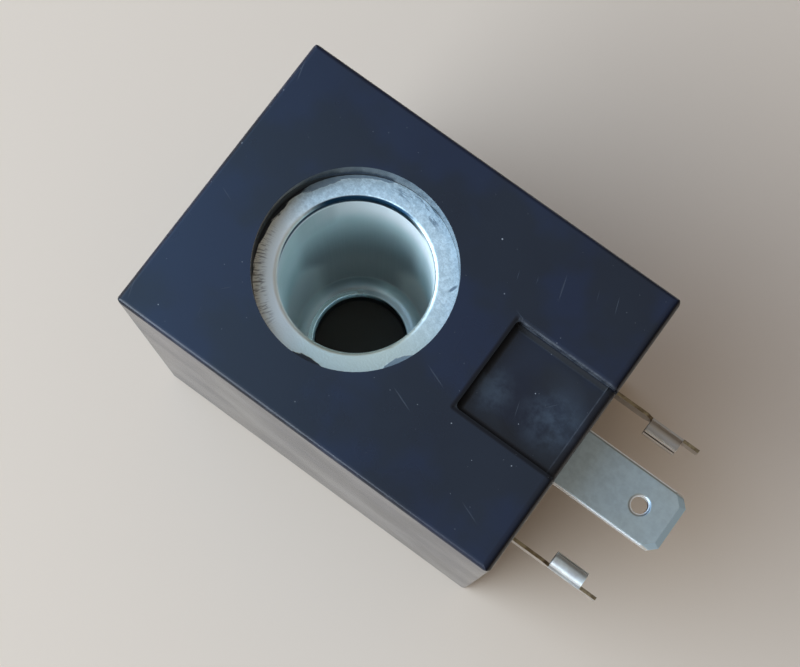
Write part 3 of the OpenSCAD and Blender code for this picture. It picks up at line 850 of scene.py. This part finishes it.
terminal = {
    "tin": rgb(0.84, 0.92, 0.94),
    "dull": rgb(0.68, 0.71, 0.73),
    "mottle": (900.0, 4.0, 0.65),
    "mottleCut": (0.35, 0.7),
    "paintedFarShade": rgb(0.36, 0.28, 0.21),  # painted shade and reflection on the far terminal
    "farShadeShare": (0.35, 1.0),
    "neck": rgb(0.58, 0.48, 0.39),  # painted reflection of the floor, on the near terminal beside its barrel
    "neckShare": 0.6,
    "barrel": (29.98 * mm, 33.72 * mm),
    "brass": rgb(0.36, 0.29, 0.18),
    "tarnish": rgb(0.20, 0.15, 0.09),
    "tarnishPatches": (1500.0, 3.0, 0.5, 0.4, 0.65),
    "cutFace": (0.5, 0.8),  # how squarely a cut face looks along X or Z
    "roughness": (0.34, 0.46),
    "grain": 6000.0,
    "grainDepth": 0.010 * mm,
}


def makeTinnedBrass():
    material, tree, shader = newMaterial("tinnedBrass")
    point = objectPoint(tree)
    x, y = parted(tree, point)[:2]
    lengthways, upward = normalParts(tree)[::2]
    grain = fillGroup(tree, fineGrain, Scale=terminal["grain"])
    mottle = noiseOf(tree, point, *terminal["mottle"])
    color = mixColors(tree, rise(tree, mottle, *terminal["mottleCut"]), terminal["dull"], terminal["tin"])
    far = calc(tree, "GREATER_THAN", y, 0.0)
    # painted shade and reflection on the far terminal
    paintedFarShade = times(tree, far, span(tree, mottle, *terminal["farShadeShare"]))
    color = mixColors(tree, paintedFarShade, color, terminal["paintedFarShade"])
    first, last = terminal["barrel"]
    onBarrel = times(tree, calc(tree, "GREATER_THAN", x, first), calc(tree, "LESS_THAN", x, last))
    offBarrel = inverse(tree, onBarrel)
    # painted reflection of the floor on the near terminal's neck
    beside = times(tree, offBarrel, inverse(tree, far), terminal["neckShare"])
    color = mixColors(tree, beside, color, terminal["neck"])
    # bare where it was cut
    ends = rise(tree, calc(tree, "ABSOLUTE", lengthways), *terminal["cutFace"])
    edges = rise(tree, calc(tree, "ABSOLUTE", upward), *terminal["cutFace"])
    cut = largest(tree, ends, times(tree, edges, offBarrel))
    tarnished = patches(tree, point, *terminal["tarnishPatches"])
    brass = mixColors(tree, tarnished, terminal["brass"], terminal["tarnish"])
    feed(tree, shader.inputs["Base Color"], mixColors(tree, cut, color, brass))
    shader.inputs["Metallic"].default_value = 1.0
    feed(tree, shader.inputs["Roughness"], span(tree, grain["Patch"], *terminal["roughness"]))
    feed(tree, shader.inputs["Normal"], bump(tree, grain["Height"], terminal["grainDepth"]))
    return material


wear(makeTinnedBrass(), "near_terminal", "far_terminal")
print("terminals done")


# Pieces inside the block

winding = {
    "gap": rgb(0.16, 0.05, 0.02),
    "copper": rgb(0.58, 0.24, 0.10),
    "wire": 0.25 * mm,  # from one turn to the next
    "shown": (-1.0, 0.4),  # of each turn's wave, from gap to copper
    "depth": 0.05 * mm,
    "metallic": 0.85,
    "roughness": 0.32,
}

inner = {"roughnessSwing": 0.08, "grainDepth": 0.010 * mm}

# each finish: two colours, the grain's scale, roughness, metallic and the pieces that have it
innerFinishes = {
    "bobbinPlastic": (rgb(0.62, 0.57, 0.46), rgb(0.70, 0.66, 0.56), 3000.0, 0.5, 0.0, ["bobbin"]),
    "polyesterTape": (rgb(0.62, 0.47, 0.08), rgb(0.72, 0.57, 0.13), 2500.0, 0.28, 0.0, ["winding_tape"]),
    "carrierPlastic": (
        rgb(0.030, 0.030, 0.032), rgb(0.045, 0.046, 0.050), 3500.0, 0.5, 0.0, ["terminal_carrier"]
    ),
    "rivetBrass": (rgb(0.55, 0.40, 0.16), rgb(0.64, 0.48, 0.21), 4000.0, 0.3, 1.0, ["earth_rivet"]),
    "leadCopper": (
        rgb(0.52, 0.22, 0.09), rgb(0.62, 0.28, 0.13), 6000.0, 0.3, 1.0, ["start_lead", "finish_lead"]
    ),
    "varnishedSleeve": (
        rgb(0.68, 0.64, 0.55), rgb(0.78, 0.75, 0.68), 5000.0, 0.45, 0.0, ["start_sleeve", "finish_sleeve"]
    ),
    "softSolder": (
        rgb(0.56, 0.58, 0.59), rgb(0.66, 0.68, 0.69), 4000.0, 0.3, 1.0, ["start_solder", "finish_solder"]
    ),
}


def makeInner(name, first, second, scale, roughness, metallic):
    material, tree, shader = newMaterial(name)
    grain = fillGroup(tree, fineGrain, Scale=scale)
    feed(tree, shader.inputs["Base Color"], mixColors(tree, grain["Patch"], first, second))
    swing = inner["roughnessSwing"]
    rough = span(tree, grain["Height"], roughness - swing, roughness + swing)
    feed(tree, shader.inputs["Roughness"], rough)
    shader.inputs["Metallic"].default_value = metallic
    feed(tree, shader.inputs["Normal"], bump(tree, grain["Height"], inner["grainDepth"]))
    return material


def makeWinding():  # enamelled turns, one wire beside the next
    material, tree, shader = newMaterial("enamelledCopper")
    z = parted(tree, objectPoint(tree))[2]
    turn = calc(tree, "SINE", times(tree, z, 2 * math.pi / winding["wire"]))
    color = mixColors(tree, rise(tree, turn, *winding["shown"]), winding["gap"], winding["copper"])
    feed(tree, shader.inputs["Base Color"], color)
    shader.inputs["Metallic"].default_value = winding["metallic"]
    shader.inputs["Roughness"].default_value = winding["roughness"]
    feed(tree, shader.inputs["Normal"], bump(tree, turn, winding["depth"]))
    return material


wear(makeWinding(), "winding")
for finishName, (*finishLook, pieceNames) in innerFinishes.items():
    wear(makeInner(finishName, *finishLook), *pieceNames)
print("inner pieces done")


# Stage: pale floor, soft light and the camera

stage = {
    "floorColor": rgb(0.68, 0.56, 0.45),
    "floorShade": rgb(0.15, 0.13, 0.11),  # under the bore
    "shadeRadius": (8.0 * mm, 10.0 * mm),
    "floorRoughness": 0.9,
    "floorShine": 0.1,
    "floorSize": 1.5,
    "zenith": rgb(0.40, 0.38, 0.35),
    "zenithHeight": (0.3, 0.9),
    "paleSide": rgb(0.62, 0.52, 0.43),
    "darkSide": rgb(0.085, 0.062, 0.045),
    "paleFacing": (226.0, -0.6, 0.8),
    "skyStrength": 1.0,
}

# soft lamps, each aimed at the middle of the block
lamps = {
    "window": {
        "place": Vector((-0.375, -0.09, 0.68)),
        "size": (0.65, 0.65),
        "power": 1.85,
        "color": (0.28, 0.57, 1.0),
    },
    "key": {
        "place": Vector((-0.337, -0.349, 0.353)),
        "size": (0.90, 0.36),
        "power": 5.7,
        "color": (0.69, 0.84, 1.0),
    },
}

photoCamera = {
    "eye": Vector((21.36, -25.4, 167.3)) * mm,
    "look": Vector((-0.0986, 0.154, -0.9831)),
    "up": Vector((-0.5823, 0.7922, 0.1825)),
    "lens": 76.5,
    "sensor": 36.0,
    "clip": (5 * mm, 10.0),
}


def makeFloor():
    material, tree, shader = newMaterial("paleFloor")
    radius = roundBore(tree, objectPoint(tree))[1]
    lit = rise(tree, radius, *stage["shadeRadius"])
    feed(tree, shader.inputs["Base Color"], mixColors(tree, lit, stage["floorShade"], stage["floorColor"]))
    shader.inputs["Roughness"].default_value = stage["floorRoughness"]
    shader.inputs["Specular IOR Level"].default_value = stage["floorShine"]
    mesh = bpy.data.meshes.new("floor")
    shape = bmesh.new()
    bmesh.ops.create_grid(shape, x_segments=1, y_segments=1, size=stage["floorSize"])
    bmesh.ops.translate(shape, verts=shape.verts, vec=(0, 0, cadLow.z))
    shape.to_mesh(mesh)
    shape.free()
    mesh.materials.append(material)
    floor = bpy.data.objects.new("floor", mesh)
    bpy.context.scene.collection.objects.link(floor)


def makeSky():
    world = bpy.data.worlds.new("studio")
    bpy.context.scene.world = world
    world.use_nodes = True
    tree = world.node_tree
    tree.nodes.clear()
    way = place(tree, "ShaderNodeTexCoord").outputs["Generated"]
    walls = facing(tree, way, *stage["paleFacing"])
    walls = mixColors(tree, walls, stage["darkSide"], stage["paleSide"])
    color = mixColors(tree, rise(tree, parted(tree, way)[2], *stage["zenithHeight"]), walls, stage["zenith"])
    back = place(tree, "ShaderNodeBackground", {"Color": color, "Strength": stage["skyStrength"]})
    output = place(tree, "ShaderNodeOutputWorld")
    tree.links.new(back.outputs[0], output.inputs["Surface"])


def makeLamp(name, settings):
    data = bpy.data.lights.new(name, "AREA")
    data.shape = "ELLIPSE"
    data.size, data.size_y = settings["size"]
    data.energy = settings["power"]
    data.color = settings["color"]
    lamp = bpy.data.objects.new(name, data)
    lamp.location = settings["place"]
    lamp.rotation_euler = (-settings["place"]).to_track_quat("-Z", "Y").to_euler()
    bpy.context.scene.collection.objects.link(lamp)


def makeCamera():
    data = bpy.data.cameras.new("photoCamera")
    data.lens = photoCamera["lens"]
    data.sensor_width = photoCamera["sensor"]
    data.clip_start, data.clip_end = photoCamera["clip"]
    camera = bpy.data.objects.new("photoCamera", data)
    look = photoCamera["look"].normalized()
    right = look.cross(photoCamera["up"]).normalized()
    up = right.cross(look)
    turn = Matrix((right, up, -look)).transposed()
    camera.matrix_world = Matrix.Translation(photoCamera["eye"]) @ turn.to_4x4()
    bpy.context.scene.collection.objects.link(camera)
    bpy.context.scene.camera = camera


makeFloor()
makeSky()
for lampName, lampSettings in lamps.items():
    makeLamp(lampName, lampSettings)
makeCamera()
bpy.context.scene.view_settings.view_transform = "Standard"
print("stage done")
